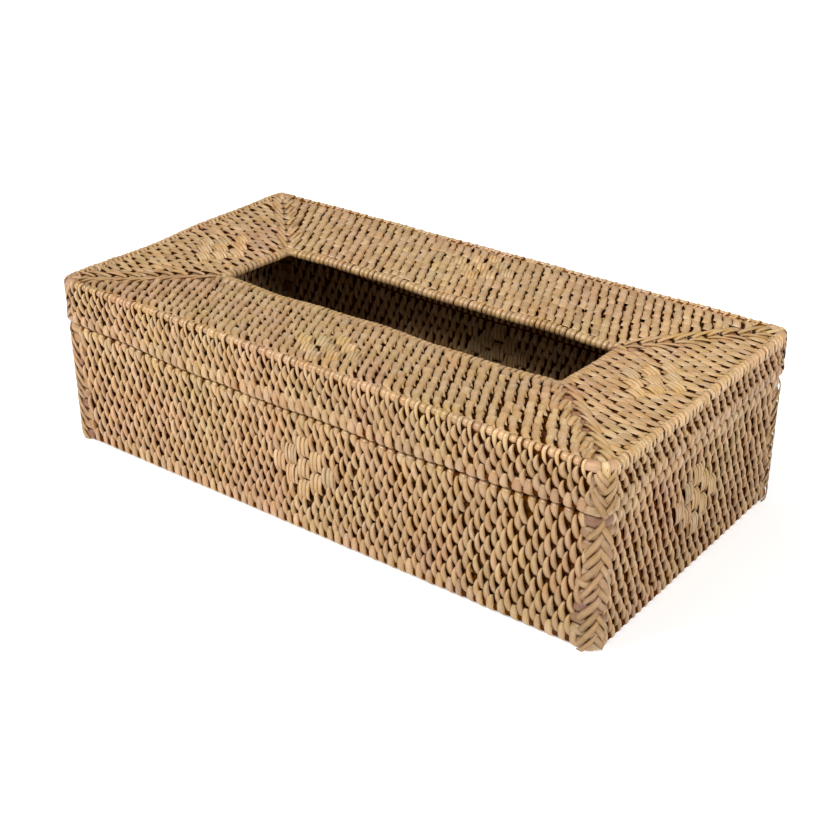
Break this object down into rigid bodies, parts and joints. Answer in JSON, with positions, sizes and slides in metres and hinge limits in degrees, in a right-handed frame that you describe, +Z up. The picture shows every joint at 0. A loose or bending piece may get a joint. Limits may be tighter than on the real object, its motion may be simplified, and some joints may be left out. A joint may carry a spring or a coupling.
{
  "type": "tissue box cover",
  "caption": "Woven cane tissue box cover: an open rectangular base with a lift-off lid whose mitred top has a long dispensing slot.",
  "frame": {"origin": "Centre of the footprint, on the surface that the cover stands on.", "axes": "X runs along the long side to the right, the front faces -Y, Z is up."},
  "size_m": [0.267, 0.14, 0.075],
  "materials": {
    "wrapped_cane": "satin",
    "rim_binding": "gloss",
    "lacing_strip": "satin",
    "bare_cane": "gloss",
    "patch_strands": "satin"
  },
  "bodies": {
    "base": {"base_floor": "wrapped_cane", "base_wall_front": "wrapped_cane", "base_wall_right": "wrapped_cane", "base_wall_back": "wrapped_cane", "base_wall_left": "wrapped_cane", "base_rim_front": "rim_binding", "base_rim_right": "rim_binding", "base_rim_back": "rim_binding", "base_rim_left": "rim_binding", "base_corner_front_right": "bare_cane", "base_corner_back_right": "bare_cane", "base_corner_back_left": "bare_cane", "base_corner_front_left": "bare_cane", "base_lacing_front_right": "lacing_strip", "base_lacing_back_right": "lacing_strip", "base_lacing_back_left": "lacing_strip", "base_lacing_front_left": "lacing_strip", "base_lip_front": "wrapped_cane", "base_lip_right": "wrapped_cane", "base_lip_back": "wrapped_cane", "base_lip_left": "wrapped_cane", "base_motifs": "patch_strands"},
    "lid": {"lid_edge_front": "rim_binding", "lid_edge_right": "rim_binding", "lid_edge_back": "rim_binding", "lid_edge_left": "rim_binding", "lid_skirt_front": "wrapped_cane", "lid_skirt_right": "wrapped_cane", "lid_skirt_back": "wrapped_cane", "lid_skirt_left": "wrapped_cane", "lid_rim_front": "rim_binding", "lid_rim_right": "rim_binding", "lid_rim_back": "rim_binding", "lid_rim_left": "rim_binding", "lid_corner_front_right": "bare_cane", "lid_corner_back_right": "bare_cane", "lid_corner_back_left": "bare_cane", "lid_corner_front_left": "bare_cane", "lid_lacing_front_right": "lacing_strip", "lid_lacing_back_right": "lacing_strip", "lid_lacing_back_left": "lacing_strip", "lid_lacing_front_left": "lacing_strip", "lid_top_front": "wrapped_cane", "lid_top_right": "wrapped_cane", "lid_top_back": "wrapped_cane", "lid_top_left": "wrapped_cane", "lid_mitre_front_right": "bare_cane", "lid_mitre_back_right": "bare_cane", "lid_mitre_back_left": "bare_cane", "lid_mitre_front_left": "bare_cane", "lid_mitre_lacing_front_right": "lacing_strip", "lid_mitre_lacing_back_right": "lacing_strip", "lid_mitre_lacing_back_left": "lacing_strip", "lid_mitre_lacing_front_left": "lacing_strip", "slot_rim_front": "rim_binding", "slot_rim_right": "rim_binding", "slot_rim_back": "rim_binding", "slot_rim_left": "rim_binding", "lid_motifs": "patch_strands"}
  },
  "joints": [
    {"name": "lid_lift", "type": "slide", "parent": "base", "child": "lid", "axis": [0, 0, 1], "range_m": [0, 0.06]}
  ]
}
